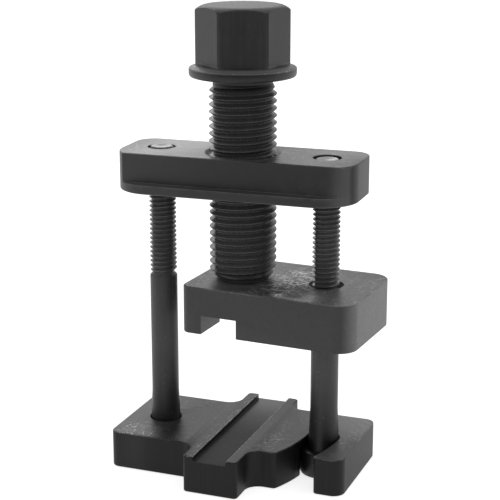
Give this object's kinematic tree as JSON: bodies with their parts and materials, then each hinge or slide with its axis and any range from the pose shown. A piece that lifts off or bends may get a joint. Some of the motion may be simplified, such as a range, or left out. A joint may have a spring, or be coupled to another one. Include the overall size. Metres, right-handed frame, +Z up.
{
  "type": "chain installation tool",
  "caption": "Screw press for the master link of a heavy drive chain: hex screw through a crosshead on guide rods, swivelling press plate, hook-slotted base.",
  "frame": {"origin": "underside of the base plate, on the axis of the main bolt", "axes": "+X from the left guide rod towards the right one along the base's long edges, +Y from the front of the tongue to its back, +Z up along the main bolt towards its hex head"},
  "size_m": [0.0546, 0.0388, 0.0984],
  "materials": {
    "base_plate": "black oxide over milled steel, scuffed at the edges",
    "left_rod": "black oxide",
    "right_rod": "black oxide",
    "crosshead": "black oxide over milled steel",
    "main_bolt": "black oxide, dry",
    "press_plate": "black oxide, scratched on top",
    "retaining_pin": "ground"
  },
  "bodies": {
    "frame": {"crosshead": "crosshead", "left_rod": "left_rod", "right_rod": "right_rod"},
    "base": {"base_plate": "base_plate"},
    "press_plate": {"press_plate": "press_plate", "left_retaining_pin": "retaining_pin", "right_retaining_pin": "retaining_pin"},
    "bolt": {"main_bolt": "main_bolt"}
  },
  "joints": [
    {"name": "base_lift", "type": "slide", "parent": "frame", "child": "base", "axis": [0, 0, 1], "range_m": [-0.0003, 0.007]},
    {"name": "plate_travel", "type": "slide", "parent": "frame", "child": "press_plate", "axis": [0, 0, 1], "range_m": [-0.0156, 0.0185]},
    {"name": "bolt_turn", "type": "hinge", "parent": "press_plate", "child": "bolt", "pos_m": [0, 0, 0.0645], "axis": [0, 0, 1], "range_deg": [-3745, 4441]}
  ],
  "couplings": [
    {"joint": "bolt_turn", "follows": "plate_travel", "rad_per_m": 4188.8}
  ]
}
